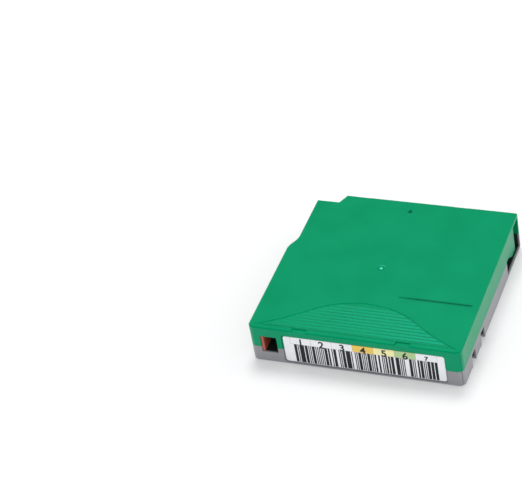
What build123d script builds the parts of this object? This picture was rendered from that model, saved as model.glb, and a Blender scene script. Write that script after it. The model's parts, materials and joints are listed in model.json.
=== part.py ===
"""Half-inch data tape cartridge: a thin two-part case around one reel of tape.

Millimetres. The origin is at the bottom centre of the case, +X points right seen from the
label side, +Y points to the edge that goes into the drive first, +Z points up.
"""

import os
from math import acos, atan2, cos, degrees, hypot, radians, sin

from build123d import *

os.makedirs("parts", exist_ok=True)

# Case
case_width = 105.4
case_depth = 102.0
case_height = 21.5
seam_height = 9.4
wall = 1.6
rear_wall = 1.8
roof = 1.7
floor = 1.7
rear_corner_radius = 3.0
small_corner_radius = 0.9
top_edge_chamfer = 0.5
seam_chamfer = 0.25
bottom_edge_chamfer = 0.6
leading_edge_chamfer = 2.5

# Waisted left side and the keyed left front corner, which stop a wrong insertion
waist_step = 3.3
waist_start = 6.2
waist_run = 11.4
key_setback = 5.8
key_width = 11.4
key_slope_run = 2.6

# Ribbed thumb grip on the roof
grip_radius = 44.0
grip_apex = 25.6
grip_crown_half = 27.0
grip_half_width = 50.3
grip_band = 2.4
grip_sink = 0.25
grip_slope = 45
rib_pitch = 2.1
rib_height = 0.2
rib_count = 10
rib_margin = 0.8

# Small marks on the roof
tab_centres = (-26.8, 24.4)
tab_width = 7.4
tab_reach = 2.6
tab_sink = 0.6
tab_front_drop = 5.0
arrow_setback = 7.3
arrow_length = 2.5
arrow_width = 2.8
mark_sink = 0.25
rule_length = 36.4
rule_width = 0.5
rule_centre = (31.0, -18.7)

# Label recess and label on the rear face
label_width = 79.6
label_height = 15.5
label_thickness = 0.25
label_centre_x = 4.4
label_bottom = 2.0
label_corner_radius = 1.3
label_margin = 0.7
label_sink = 0.6

# Write-protect window and its slider
window_left = -47.0
window_width = 8.2
window_bottom = 6.3
window_height = 9.7
slider_width = 5.0
slider_depth = 6.2
slider_show = 1.5
slider_height = 9.2
slider_grip_depth = 0.6
slider_gap = 0.15
slider_nub_inset = 0.4
slider_travel = 6.2
guide_overrun = 1.5
guide_rib = 1.0
guide_rib_height = 12.6

# Picker notches low on both sides
notch_centres = (-34.0, -18.8)
notch_width = 5.8
notch_height = 7.0
notch_depth = 2.5
notch_wall = 1.2

# Access door in the right side, and the pocket between it and the front wall
door_rear = 27.0
door_front = 45.4
door_thickness = 1.5
door_inset = 1.3
door_rear_lift = 6.5
door_front_lift = 2.5
door_slope_start = 34.0
door_slope_end = 40.0
door_tail = 8.0
door_tail_lift = 3.0
door_gap = 0.15
door_travel = 17.5
door_rail_height = 0.8
door_rail_width = 0.8
pocket_depth = 2.5

# Door spring, a coil along Y beside the reel
door_coil_radius = 1.1
door_wire = 0.4
door_coil_turns = 8
door_coil_steps = 8
spring_post_length = 2.0
spigot_radius = 0.7
spigot_length = 2.4

# Reel
reel_radius = 48.0
reel_bottom = 2.7
flange_thickness = 1.3
upper_flange_thickness = 1.2
flange_gap = 13.0
hub_radius = 22.0
hub_wall = 2.0
hub_web = 1.6
hub_spigot_height = 0.9
spigot_wall = 0.95
fit_clearance = 0.03
seat_rib = 1.5
reel_gap = 0.15
spindle_opening_radius = 20.2
spindle_opening_gap = 0.8

# Drive teeth under the hub and lock teeth inside it
tooth_count = 24
tooth_height = 1.0
tooth_base = 2.3
tooth_tip = 0.5
tooth_root = 0.2
tooth_end_gap = 0.2
drive_ring_width = 3.6
drive_ring_height = 1.0
lock_ring_inner = 11.0
lock_ring_width = 3.2
lock_ring_height = 1.7
lock_arc_teeth = 4
release_count = 3
mesh_gap = 0.12

# Clutch plate
clutch_inner = 8.5
clutch_thickness = 0.8

# Release plate
release_leg_centre = 17.5
release_leg_width = 2.6
release_leg_depth = 2.0
release_window_gap = 0.3
release_thickness = 1.2
release_arm_width = 4.0
release_centre_radius = 5.0
release_leg_lift = 1.2
release_gap = 0.12

# Brake button, its guide post and its spring
brake_radius = 14.8
brake_thickness = 1.6
brake_tip_radius = 3.5
brake_collar_radius = 5.9
brake_collar_height = 5.6
brake_lift = 1.8
guide_arm = 8.6
guide_arm_thickness = 1.4
guide_gap = 0.2
post_clearance = 0.6
brake_coil_radius = 7.5
brake_wire = 0.8
brake_coil_turns = 3
brake_coil_steps = 16

# Tape
tape_width = 12.65
tape_pack_radius = 46.8
tape_sheet = 0.12
tape_gap = 0.2

# Leader pin, its clamp, cups and springs
pin_x = 46.4
pin_y = 36.0
pin_shaft_radius = 1.3
pin_collar_radius = 2.5
pin_collar_thickness = 0.7
pin_neck_radius = 1.1
pin_head_radius = 1.8
pin_head_height = 1.1
pin_end_gap = 0.1
clamp_thickness = 0.7
clamp_opening = 1.6
clamp_end_gap = 0.3
cup_wall = 1.0
cup_gap = 0.15
cup_height = 1.3
cup_mouth = 0.6
pin_spring_sheet = 0.2
pin_spring_height = 1.2
pin_spring_gap = 0.05

# Memory board, tilted so that it faces the rear and the floor
board_centre_x = -33.0
board_width = 9.0
board_length = 9.0
board_thickness = 0.8
board_rear_gap = 0.4
chip_size = 2.6
chip_thickness = 0.6
gusset_thickness = 0.8
gusset_spread = 6.4

# Screws and their square posts
screw_places = ((46.0, -44.0), (-46.4, -37.2), (-43.4, 39.2), (41.0, 45.4))
post_width = 6.6
screw_head_radius = 2.5
screw_head_height = 1.4
screw_head_sink = 0.5
screw_radius = 1.2
screw_length = 12.5
screw_bore_gap = 0.3
screw_head_gap = 0.25
cross_length = 2.8
cross_width = 0.6
cross_sink = 0.8

# Datum holes in the floor
datum_x = 39.5
datum_y = -36.0
datum_radius = 2.0
datum_depth = 4.5
datum_slot_length = 5.0
datum_wall = 1.0

# Curved guard ribs round the reel in three corners of the floor
guard_gap = 1.2
guard_rib = 1.0
guard_height = 4.0
guard_corner = 22.0

# Worked out from the sizes above
right = case_width / 2
left = -right
front = case_depth / 2
rear = -front
roof_under = case_height - roof
inner_right = right - wall
inner_rear = rear + rear_wall
waist_left = left + waist_step
flange_top = reel_bottom + flange_thickness
upper_flange_bottom = flange_top + flange_gap
web_top = reel_bottom + hub_web
hub_bore = hub_radius - hub_wall
drive_ring_outer = spindle_opening_radius - spindle_opening_gap
drive_ring_inner = drive_ring_outer - drive_ring_width
drive_ring_bottom = reel_bottom - drive_ring_height
lock_plane = web_top + lock_ring_height
lock_ring_outer = lock_ring_inner + lock_ring_width
brake_plane = lock_plane + tooth_height + mesh_gap
brake_top = brake_plane + brake_thickness
guide_post_bottom = brake_top + brake_lift + post_clearance
release_bottom = web_top + release_gap
release_top = release_bottom + release_thickness
tape_bottom = flange_top + (flange_gap - tape_width) / 2
door_outer = right - door_inset
door_inner = door_outer - door_thickness
door_top = roof_under - door_gap
door_middle = (door_inner + door_outer) / 2
channel_face = door_outer + door_gap
pocket_face = right - pocket_depth
spring_post_rear = notch_centres[1] + notch_width / 2 + notch_wall
spring_post_front = spring_post_rear + spring_post_length
door_tail_end = door_rear - door_tail
spring_axis_x = (reel_radius + channel_face) / 2
spring_axis_z = case_height / 2
slider_right = window_left + slider_show
slider_left = slider_right - slider_width
slider_front = inner_rear + slider_gap
slider_back = slider_front + slider_depth
slider_bottom = window_bottom
guide_face = slider_back + slider_gap
guide_length = slider_right + slider_travel + guide_overrun - left - wall
screw_seat = screw_head_sink + screw_head_height
tooth_pitch = 360 / tooth_count
arm_pitch = 360 / release_count

# Outline of the case seen from above
with BuildSketch() as case_outline:
    with BuildLine():
        waist_line = Line((left, rear), (left, waist_start))
        waist_in = TangentArc(
            waist_line @ 1,
            (left + waist_step / 2, waist_start + waist_run / 2),
            tangent=waist_line % 1,
        )
        waist_out = TangentArc(
            waist_in @ 1, (waist_left, waist_start + waist_run), tangent=waist_in % 1
        )
        Polyline(
            waist_out @ 1,
            (waist_left, front - key_setback),
            (waist_left + key_width, front - key_setback),
            (waist_left + key_width + key_slope_run, front),
            (right, front),
            (right, rear),
            (left, rear),
        )
    make_face()
    fillet(case_outline.vertices().group_by(Axis.Y)[0], rear_corner_radius)
    fillet(case_outline.vertices().group_by(Axis.Y)[-1].sort_by(Axis.X)[-1], small_corner_radius)

# Inside face of the walls
with BuildSketch() as cavity_outline:
    add(case_outline.sketch)
    offset(amount=-wall, kind=Kind.INTERSECTION)
    with Locations((0, rear + rear_wall / 2)):
        Rectangle(case_width, rear_wall, mode=Mode.SUBTRACT)

# Edge of the thumb grip: an arch that flares into two shoulders
band_y = rear + grip_band
crown_end_y = -grip_apex - grip_radius + (grip_radius**2 - grip_crown_half**2) ** 0.5
with BuildSketch() as grip_outline:
    with BuildLine():
        crown = ThreePointArc(
            (-grip_crown_half, crown_end_y), (0, -grip_apex), (grip_crown_half, crown_end_y)
        )
        flank = TangentArc(crown @ 1, (grip_half_width, band_y), tangent=crown % 1)
        mirror(flank, about=Plane.YZ)
        Line((-grip_half_width, band_y), (grip_half_width, band_y))
    make_face()

# Low ridges that run across the grip, on a root that is sunk in the roof
grip_face = case_height - grip_sink
rib_root = grip_face - rib_height
rib_line = [
    (band_y + rib_pitch * index / 2, grip_face + rib_height * (index % 2))
    for index in range(2 * rib_count + 1)
]
with BuildPart() as grip_ribs:
    with BuildSketch(Plane.YZ):
        with BuildLine():
            Polyline((band_y, rib_root), *rib_line, (rib_line[-1][0], rib_root), close=True)
        make_face()
    extrude(amount=grip_half_width, both=True)
    with BuildSketch(Plane.XY.offset(rib_root)):
        add(grip_outline.sketch)
        offset(amount=-rib_margin, kind=Kind.INTERSECTION)
    extrude(amount=2 * rib_height, mode=Mode.INTERSECT)

# Doorway in the right side, and the pocket that runs on from it to the front wall
with BuildSketch() as doorway_outline:
    with Locations((inner_right - door_gap, door_rear)):
        Rectangle(2 * wall, door_front + door_gap - door_rear, align=(Align.MIN, Align.MIN))
    with Locations((pocket_face, door_front)):
        Rectangle(2 * pocket_depth, front - wall - door_front, align=(Align.MIN, Align.MIN))

# Cups that hold the two ends of the leader pin, open towards the door
cup_inner = pin_head_radius + cup_gap
with BuildSketch() as cup_outline:
    with Locations((pin_x, pin_y)):
        Circle(cup_inner + cup_wall)
        Circle(cup_inner, mode=Mode.SUBTRACT)
    with Locations((pin_x + cup_mouth, pin_y)):
        Rectangle(
            2 * cup_inner, 2 * (cup_inner + cup_wall), align=(Align.MIN, Align.CENTER), mode=Mode.SUBTRACT
        )

# Leaf spring that crosses the mouth of a cup, and the slit that holds its tail
spring_face = pin_x + pin_head_radius + pin_spring_gap + pin_spring_sheet / 2
anchor_x = pin_x
anchor_y = pin_y + 6.6
with BuildLine() as leaf_line:
    Polyline(
        (anchor_x, anchor_y),
        (spring_face, pin_y + pin_head_radius + cup_wall),
        (spring_face, pin_y - pin_head_radius),
    )
with BuildSketch() as leaf_outline:
    trace(leaf_line.line, line_width=pin_spring_sheet)
with BuildSketch() as anchor_outline:
    with Locations((anchor_x, anchor_y)):
        Rectangle(2.6, 2.6)
    trace(leaf_line.line, line_width=pin_spring_sheet + 2 * pin_spring_gap, mode=Mode.SUBTRACT)

# Rounded field of the label recess, drawn on the rear face
label_plane = Plane(
    origin=(label_centre_x, rear, label_bottom + label_height / 2), x_dir=(1, 0, 0), z_dir=(0, -1, 0)
)

# Top shell
with BuildPart() as top_shell:
    with BuildSketch(Plane.XY.offset(seam_height)):
        add(case_outline.sketch)
    extrude(amount=case_height - seam_height)
    chamfer(top_shell.edges().group_by(Axis.Z)[-1], top_edge_chamfer)
    with BuildSketch(Plane.XY.offset(seam_height)):
        add(cavity_outline.sketch)
    extrude(amount=roof_under - seam_height, mode=Mode.SUBTRACT)

    # Wall between the pocket and the inside
    with BuildSketch(Plane.XY.offset(seam_height)):
        with Locations((pocket_face, door_front + door_gap)):
            Rectangle(wall, front - door_front - door_gap - small_corner_radius, align=(Align.MAX, Align.MIN))
    extrude(amount=roof_under - seam_height)

    # Doorway and pocket in the right side, under the overhanging roof
    with BuildSketch(Plane.XY.offset(seam_height)):
        add(doorway_outline.sketch)
    extrude(amount=roof_under - seam_height, mode=Mode.SUBTRACT)

    # Channel for the door and its spring, inside the right wall
    with BuildSketch(Plane.XY.offset(seam_height)):
        with Locations((channel_face, spring_post_rear)):
            Rectangle(wall, door_rear - spring_post_rear, align=(Align.MAX, Align.MIN))
    extrude(amount=roof_under - seam_height, mode=Mode.SUBTRACT)
    with BuildSketch(Plane.XY.offset(roof_under)):
        with Locations((door_middle, door_tail_end - door_travel - door_gap)):
            Rectangle(
                door_rail_width + 2 * door_gap,
                door_front + 2 * door_gap - door_tail_end + door_travel,
                align=(Align.CENTER, Align.MIN),
            )
    extrude(amount=door_rail_height, mode=Mode.SUBTRACT)

    # Tab recesses at the rear edge of the roof and behind the leading edge
    with BuildSketch(Plane.XY.offset(case_height)):
        for tab_x in tab_centres:
            with Locations((tab_x, rear)):
                Rectangle(tab_width, tab_reach, align=(Align.CENTER, Align.MIN))
    extrude(amount=-tab_sink, mode=Mode.SUBTRACT)
    with BuildSketch(Plane.XY.offset(case_height)):
        for tab_x in tab_centres:
            with Locations((tab_x, front)):
                Rectangle(tab_width, tab_sink, align=(Align.CENTER, Align.MAX))
    extrude(amount=-tab_front_drop, mode=Mode.SUBTRACT)

    # Thumb grip
    with BuildSketch(Plane.XY.offset(case_height)):
        add(grip_outline.sketch)
    extrude(amount=-grip_sink, taper=grip_slope, mode=Mode.SUBTRACT)
    add(grip_ribs.part)

    # Insertion arrow and rule
    with BuildSketch(Plane.XY.offset(case_height)):
        with BuildLine():
            Polyline(
                (-arrow_width / 2, front - arrow_setback - arrow_length / 2),
                (arrow_width / 2, front - arrow_setback - arrow_length / 2),
                (0, front - arrow_setback + arrow_length / 2),
                close=True,
            )
        make_face()
        with Locations(rule_centre):
            Rectangle(rule_length, rule_width)
    extrude(amount=-mark_sink, mode=Mode.SUBTRACT)

    # Label recess and write-protect window in the rear wall
    with BuildSketch(label_plane):
        RectangleRounded(label_width + 2 * label_margin, label_height + 2 * label_margin, label_corner_radius)
    extrude(amount=-label_sink, mode=Mode.SUBTRACT)
    with BuildSketch(Plane.XZ.offset(front)):
        with Locations((window_left, window_bottom)):
            Rectangle(window_width, window_height, align=(Align.MIN, Align.MIN))
    extrude(amount=-rear_wall, mode=Mode.SUBTRACT)

    # Screw posts
    with BuildSketch(Plane.XY.offset(seam_height)):
        with Locations(*screw_places):
            Rectangle(post_width, post_width)
    extrude(amount=roof_under - seam_height)
    with BuildSketch(Plane.XY.offset(seam_height)):
        with Locations(*screw_places):
            Circle(screw_radius + fit_clearance)
    extrude(amount=screw_seat + screw_length + screw_bore_gap - seam_height, mode=Mode.SUBTRACT)

    # Cross-shaped post that guides the brake button
    with BuildSketch(Plane.XY.offset(guide_post_bottom)):
        Rectangle(guide_arm, guide_arm_thickness)
        Rectangle(guide_arm_thickness, guide_arm)
    extrude(amount=roof_under - guide_post_bottom)

    # Upper cup and spring anchor of the leader pin
    with BuildSketch(Plane.XY.offset(roof_under)):
        add(cup_outline.sketch)
        add(anchor_outline.sketch)
    extrude(amount=-cup_height)
top_shell.part.label = "top_shell"
export_step(top_shell.part, "parts/top_shell.step")

# Bottom shell
with BuildPart() as bottom_shell:
    with BuildSketch():
        add(case_outline.sketch)
    extrude(amount=seam_height)
    chamfer(bottom_shell.edges().group_by(Axis.Z)[-1], seam_chamfer)
    with BuildSketch(Plane.YZ):
        with BuildLine():
            Polyline(
                (front - leading_edge_chamfer, 0),
                (front, 0),
                (front, leading_edge_chamfer),
                close=True,
            )
        make_face()
    extrude(amount=right, both=True, mode=Mode.SUBTRACT)
    rear_edge = bottom_shell.edges().group_by(Axis.Z)[0].filter_by(Axis.X).group_by(Axis.Y)[0]
    chamfer(rear_edge, bottom_edge_chamfer)
    with BuildSketch(Plane.XY.offset(floor)):
        add(cavity_outline.sketch)
    extrude(amount=seam_height - floor, mode=Mode.SUBTRACT)

    # Wall between the pocket and the inside
    with BuildSketch(Plane.XY.offset(floor)):
        with Locations((pocket_face, door_front + door_gap)):
            Rectangle(wall, front - door_front - door_gap - small_corner_radius, align=(Align.MAX, Align.MIN))
    extrude(amount=seam_height - floor)

    # Doorway and pocket above the floor, and the channel for the door and its spring
    with BuildSketch(Plane.XY.offset(floor)):
        add(doorway_outline.sketch)
    extrude(amount=seam_height - floor, mode=Mode.SUBTRACT)
    with BuildSketch(Plane.XY.offset(floor)):
        with Locations((channel_face, spring_post_rear)):
            Rectangle(wall, door_rear - spring_post_rear, align=(Align.MAX, Align.MIN))
    extrude(amount=seam_height - floor, mode=Mode.SUBTRACT)

    # Picker notches, each with its own pocket wall
    notch_block = (notch_depth + notch_wall, notch_width + 2 * notch_wall)
    with BuildSketch():
        for notch_y in notch_centres:
            with Locations((right, notch_y)):
                Rectangle(*notch_block, align=(Align.MAX, Align.CENTER))
            with Locations((left, notch_y)):
                Rectangle(*notch_block, align=(Align.MIN, Align.CENTER))
    extrude(amount=notch_height + notch_wall)
    with BuildSketch():
        for notch_y in notch_centres:
            with Locations((right, notch_y)):
                Rectangle(notch_depth, notch_width, align=(Align.MAX, Align.CENTER))
            with Locations((left, notch_y)):
                Rectangle(notch_depth, notch_width, align=(Align.MIN, Align.CENTER))
    extrude(amount=notch_height, mode=Mode.SUBTRACT)

    # Post and spigot for the door spring
    with BuildSketch(Plane.XY.offset(floor)):
        with Locations((channel_face, spring_post_rear)):
            Rectangle(
                2 * (channel_face - spring_axis_x), spring_post_length, align=(Align.MAX, Align.MIN)
            )
    extrude(amount=spring_axis_z + door_coil_radius - floor)
    with BuildSketch(
        Plane(origin=(spring_axis_x, spring_post_front, spring_axis_z), x_dir=(1, 0, 0), z_dir=(0, 1, 0))
    ):
        Circle(spigot_radius)
    extrude(amount=spigot_length)

    # Spindle opening with the rib that the reel rests on
    with BuildSketch(Plane.XY.offset(floor)):
        Circle(spindle_opening_radius + seat_rib)
    extrude(amount=reel_bottom - reel_gap - floor)
    with BuildSketch():
        Circle(spindle_opening_radius)
    extrude(amount=reel_bottom, mode=Mode.SUBTRACT)

    # Guard ribs round the reel
    guard_inner = reel_radius + guard_gap
    with BuildSketch(Plane.XY.offset(floor)):
        Circle(guard_inner + guard_rib)
        Circle(guard_inner, mode=Mode.SUBTRACT)
        with BuildSketch(mode=Mode.INTERSECT):
            for corner_x, corner_y in ((right, rear), (left, rear), (left, front)):
                with Locations((corner_x * 0.75, corner_y * 0.75)):
                    Rectangle(guard_corner, guard_corner)
        add(cavity_outline.sketch, mode=Mode.INTERSECT)
    extrude(amount=guard_height)

    # Ledge and back rib that guide the write-protect slider
    with BuildSketch(Plane.XY.offset(floor)):
        with Locations((left + wall, inner_rear)):
            Rectangle(guide_length, guide_face - inner_rear, align=(Align.MIN, Align.MIN))
    extrude(amount=slider_bottom - slider_gap - floor)
    with BuildSketch(Plane.XY.offset(floor)):
        with Locations((left + wall, guide_face)):
            Rectangle(guide_length, guide_rib, align=(Align.MIN, Align.MIN))
    extrude(amount=guide_rib_height)

    # Gussets under the memory board
    board_top_y = inner_rear + board_rear_gap
    board_foot_y = board_top_y + board_length * cos(radians(45))
    board_foot_z = floor + board_thickness
    with BuildSketch(Plane.YZ.offset(board_centre_x)):
        with BuildLine():
            Polyline(
                (inner_rear, floor),
                (board_foot_y + board_foot_z - floor, floor),
                (board_foot_y, board_foot_z),
                (board_top_y, board_foot_z + board_foot_y - board_top_y),
                (inner_rear, board_foot_z + board_foot_y - board_top_y),
                close=True,
            )
        make_face()
    extrude(amount=(gusset_spread + gusset_thickness) / 2, both=True)
    with BuildSketch(Plane.YZ.offset(board_centre_x)):
        with Locations((inner_rear, floor)):
            Rectangle(2 * board_length, board_length + floor, align=(Align.MIN, Align.MIN))
    extrude(amount=(gusset_spread - gusset_thickness) / 2, both=True, mode=Mode.SUBTRACT)

    # Label recess and write-protect window in the rear wall
    with BuildSketch(label_plane):
        RectangleRounded(label_width + 2 * label_margin, label_height + 2 * label_margin, label_corner_radius)
    extrude(amount=-label_sink, mode=Mode.SUBTRACT)
    with BuildSketch(Plane.XZ.offset(front)):
        with Locations((window_left, window_bottom)):
            Rectangle(window_width, window_height, align=(Align.MIN, Align.MIN))
    extrude(amount=-rear_wall, mode=Mode.SUBTRACT)

    # Screw posts with counterbores from below
    with BuildSketch():
        with Locations(*screw_places):
            Rectangle(post_width, post_width)
    extrude(amount=seam_height)
    with Locations(*[Location((x, y, 0), (180, 0, 0)) for x, y in screw_places]):
        CounterBoreHole(screw_radius + screw_bore_gap, screw_head_radius + screw_head_gap, screw_seat)

    # Round and slotted datum holes
    with BuildSketch(Plane.XY.offset(floor)):
        with Locations((datum_x, datum_y)):
            Rectangle(2 * (datum_radius + datum_wall), 2 * (datum_radius + datum_wall))
        with Locations((-datum_x, datum_y)):
            Rectangle(datum_slot_length + 2 * datum_wall, 2 * (datum_radius + datum_wall))
    extrude(amount=datum_depth + datum_wall - floor)
    with BuildSketch():
        with Locations((datum_x, datum_y)):
            Circle(datum_radius)
        with Locations((-datum_x, datum_y)):
            SlotOverall(datum_slot_length, 2 * datum_radius)
    extrude(amount=datum_depth, mode=Mode.SUBTRACT)

    # Lower cup and spring anchor of the leader pin
    with BuildSketch(Plane.XY.offset(floor)):
        add(cup_outline.sketch)
        add(anchor_outline.sketch)
    extrude(amount=cup_height)
bottom_shell.part.label = "bottom_shell"
export_step(bottom_shell.part, "parts/bottom_shell.step")

# Four screws, driven from below
with BuildPart() as shell_screws:
    with BuildSketch(Plane.XY.offset(screw_head_sink)):
        with Locations(*screw_places):
            Circle(screw_head_radius)
    extrude(amount=screw_head_height)
    with BuildSketch(Plane.XY.offset(screw_seat)):
        with Locations(*screw_places):
            Circle(screw_radius)
    extrude(amount=screw_length)
    with BuildSketch(Plane.XY.offset(screw_head_sink)):
        with Locations(*screw_places):
            Rectangle(cross_length, cross_width)
            Rectangle(cross_width, cross_length)
    extrude(amount=cross_sink, mode=Mode.SUBTRACT)
shell_screws.part.label = "shell_screws"
export_step(shell_screws.part, "parts/shell_screws.step")

# Access door: a plate with a stepped lower edge, a rail on top and a tail inside the wall
with BuildPart() as access_door:
    with BuildSketch(Plane.YZ.offset(door_inner)):
        with BuildLine():
            Polyline(
                (door_tail_end, door_top),
                (door_tail_end, door_tail_lift),
                (door_rear - door_gap, door_tail_lift),
                (door_rear - door_gap, door_rear_lift),
                (door_slope_start, door_rear_lift),
                (door_slope_end, door_front_lift),
                (door_front, door_front_lift),
                (door_front, door_top),
                close=True,
            )
        make_face()
    extrude(amount=door_thickness)
    with BuildSketch(Plane.XY.offset(door_top)):
        with Locations((door_middle, door_tail_end)):
            Rectangle(door_rail_width, door_front - door_tail_end, align=(Align.CENTER, Align.MIN))
    extrude(amount=door_rail_height)
    with BuildSketch(
        Plane(origin=(spring_axis_x, door_tail_end, spring_axis_z), x_dir=(-1, 0, 0), z_dir=(0, -1, 0))
    ):
        Circle(spigot_radius)
    extrude(amount=spigot_length)
access_door.part.label = "access_door"
export_step(access_door.part, "parts/access_door.step")


def coil_spring(base, radius, length, turns, wire, steps):
    """Open coil on the base plane, with a six-sided wire in straight steps that keep its facets few.

    Point number i stands at the angle 360 * i / steps and at the height length * i / (steps * turns).
    """
    lift = length / (steps * turns)
    helix_points = [
        base.from_local_coords(Vector(radius, 0, lift * index).rotate(Axis.Z, 360 * index / steps))
        for index in range(steps * turns + 1)
    ]
    with BuildPart() as coil:
        with BuildLine() as path:
            Polyline(*helix_points)
        with BuildSketch(Plane(origin=path.line @ 0, x_dir=base.x_dir, z_dir=path.line % 0)):
            RegularPolygon(wire / 2, 6)
        sweep(path=path.line, transition=Transition.RIGHT)
    return coil.part


# Door spring, pressed between its post and the tail of the door
door_spring = coil_spring(
    base=Plane(
        origin=(spring_axis_x, spring_post_front + door_wire / 2, spring_axis_z),
        x_dir=(1, 0, 0),
        z_dir=(0, 1, 0),
    ),
    radius=door_coil_radius,
    length=door_tail_end - spring_post_front - door_wire,
    turns=door_coil_turns,
    wire=door_wire,
    steps=door_coil_steps,
)
door_spring.label = "door_spring"
export_step(door_spring, "parts/door_spring.step")

# Write-protect slider, whose nub reaches into the window
with BuildPart() as write_protect_slider:
    with BuildSketch(Plane.XY.offset(slider_bottom)):
        with Locations((slider_left, slider_front)):
            Rectangle(slider_width, slider_depth, align=(Align.MIN, Align.MIN))
    extrude(amount=slider_height)
    fillet(write_protect_slider.edges().filter_by(Axis.Z).group_by(Axis.X)[0], 0.4)
    with BuildSketch(Plane.XY.offset(slider_bottom + slider_gap)):
        with Locations((slider_right, rear + slider_nub_inset)):
            Rectangle(
                slider_show - slider_gap,
                slider_front + slider_gap - rear - slider_nub_inset,
                align=(Align.MAX, Align.MIN),
            )
    extrude(amount=slider_height - slider_gap)
    with BuildSketch(Plane.XZ.offset(-slider_front)):
        with Locations(((slider_left + slider_right - slider_show) / 2, slider_bottom + slider_height / 2)):
            with GridLocations(1.2, 1, 2, 1):
                Rectangle(0.5, slider_height - 2.4)
    extrude(amount=-slider_grip_depth, mode=Mode.SUBTRACT)
write_protect_slider.part.label = "write_protect_slider"
export_step(write_protect_slider.part, "parts/write_protect_slider.step")

# Profile of one face tooth, standing on the ground plane with its root sunk a little
with BuildSketch() as tooth_profile:
    with BuildLine():
        Polyline(
            (-tooth_base / 2, -tooth_root),
            (tooth_base / 2, -tooth_root),
            (tooth_base / 2, 0),
            (tooth_tip / 2, tooth_height),
            (-tooth_tip / 2, tooth_height),
            (-tooth_base / 2, 0),
            close=True,
        )
    make_face()


def tooth_plane(angle, inner_radius, height, up):
    """Plane across a radial tooth at its inner end, with +Y of the sketch along up."""
    outward = Vector(cos(radians(angle)), sin(radians(angle)), 0)
    sideways = Vector(-outward.Y, outward.X, 0) * up
    return Plane(
        origin=(outward.X * inner_radius, outward.Y * inner_radius, height),
        x_dir=sideways,
        z_dir=outward,
    )


# Reel hub with the lower flange, drive teeth below and lock teeth inside
arm_angles = [arm_pitch * index for index in range(release_count)]
drive_angles = [
    tooth_pitch * index for index in range(tooth_count) if (tooth_pitch * index) % arm_pitch != 0
]
lock_angles = [
    arm_angle + arm_pitch / 2 + tooth_pitch * (index - (lock_arc_teeth - 1) / 2)
    for arm_angle in arm_angles
    for index in range(lock_arc_teeth)
]
with BuildPart() as reel_hub:
    with BuildSketch(Plane.XZ):
        with BuildLine():
            Polyline(
                (0, reel_bottom),
                (drive_ring_inner, reel_bottom),
                (drive_ring_inner, reel_bottom - drive_ring_height),
                (drive_ring_outer, reel_bottom - drive_ring_height),
                (drive_ring_outer, reel_bottom),
                (reel_radius, reel_bottom),
                (reel_radius, flange_top),
                (hub_radius, flange_top),
                (hub_radius, upper_flange_bottom),
                (hub_bore + spigot_wall, upper_flange_bottom),
                (hub_bore + spigot_wall, upper_flange_bottom + hub_spigot_height),
                (hub_bore, upper_flange_bottom + hub_spigot_height),
                (hub_bore, web_top),
                (0, web_top),
                close=True,
            )
        make_face()
    revolve(axis=Axis.Z)
    with BuildSketch(Plane.XY.offset(web_top)):
        Circle(lock_ring_outer)
        Circle(lock_ring_inner, mode=Mode.SUBTRACT)
        with PolarLocations(lock_ring_outer, release_count):
            Rectangle(2 * lock_ring_outer, 2 * release_centre_radius, mode=Mode.SUBTRACT)
    extrude(amount=lock_ring_height)
    for angle in lock_angles:
        with BuildSketch(tooth_plane(angle, lock_ring_inner + tooth_end_gap, lock_plane, 1)):
            add(tooth_profile.sketch)
        extrude(amount=lock_ring_width - 2 * tooth_end_gap)
    for angle in drive_angles:
        with BuildSketch(tooth_plane(angle, drive_ring_inner + tooth_end_gap, drive_ring_bottom, -1)):
            add(tooth_profile.sketch)
        extrude(amount=drive_ring_width - 2 * tooth_end_gap)
    with BuildSketch(Plane.XY.offset(drive_ring_bottom)):
        with PolarLocations(release_leg_centre, release_count):
            Rectangle(release_leg_depth + 2 * release_window_gap, release_leg_width + 2 * release_window_gap)
    extrude(amount=web_top - drive_ring_bottom, mode=Mode.SUBTRACT)
reel_hub.part.label = "reel_hub"
export_step(reel_hub.part, "parts/reel_hub.step")

# Clear upper flange
with BuildPart() as upper_flange:
    with BuildSketch(Plane.XY.offset(upper_flange_bottom)):
        Circle(reel_radius)
        Circle(hub_bore + spigot_wall + fit_clearance, mode=Mode.SUBTRACT)
    extrude(amount=upper_flange_thickness)
upper_flange.part.label = "upper_flange"
export_step(upper_flange.part, "parts/upper_flange.step")

# Steel clutch plate, pressed into the drive ring under the hub
with BuildPart() as clutch_plate:
    with BuildSketch(Plane.XY.offset(reel_bottom - clutch_thickness)):
        Circle(drive_ring_inner - fit_clearance)
        Circle(clutch_inner, mode=Mode.SUBTRACT)
    extrude(amount=clutch_thickness)
clutch_plate.part.label = "clutch_plate"
export_step(clutch_plate.part, "parts/clutch_plate.step")

# Release plate, whose three legs reach down through the hub between the drive teeth
with BuildPart() as release_plate:
    with BuildSketch(Plane.XY.offset(release_bottom)):
        Circle(release_centre_radius)
        with PolarLocations(release_leg_centre / 2, release_count):
            Rectangle(release_leg_centre + release_leg_depth, release_arm_width)
    extrude(amount=release_thickness)
    with BuildSketch(Plane.XY.offset(release_leg_lift)):
        with PolarLocations(release_leg_centre, release_count):
            Rectangle(release_leg_depth, release_leg_width)
    extrude(amount=release_bottom - release_leg_lift)
release_plate.part.label = "release_plate"
export_step(release_plate.part, "parts/release_plate.step")

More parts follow.
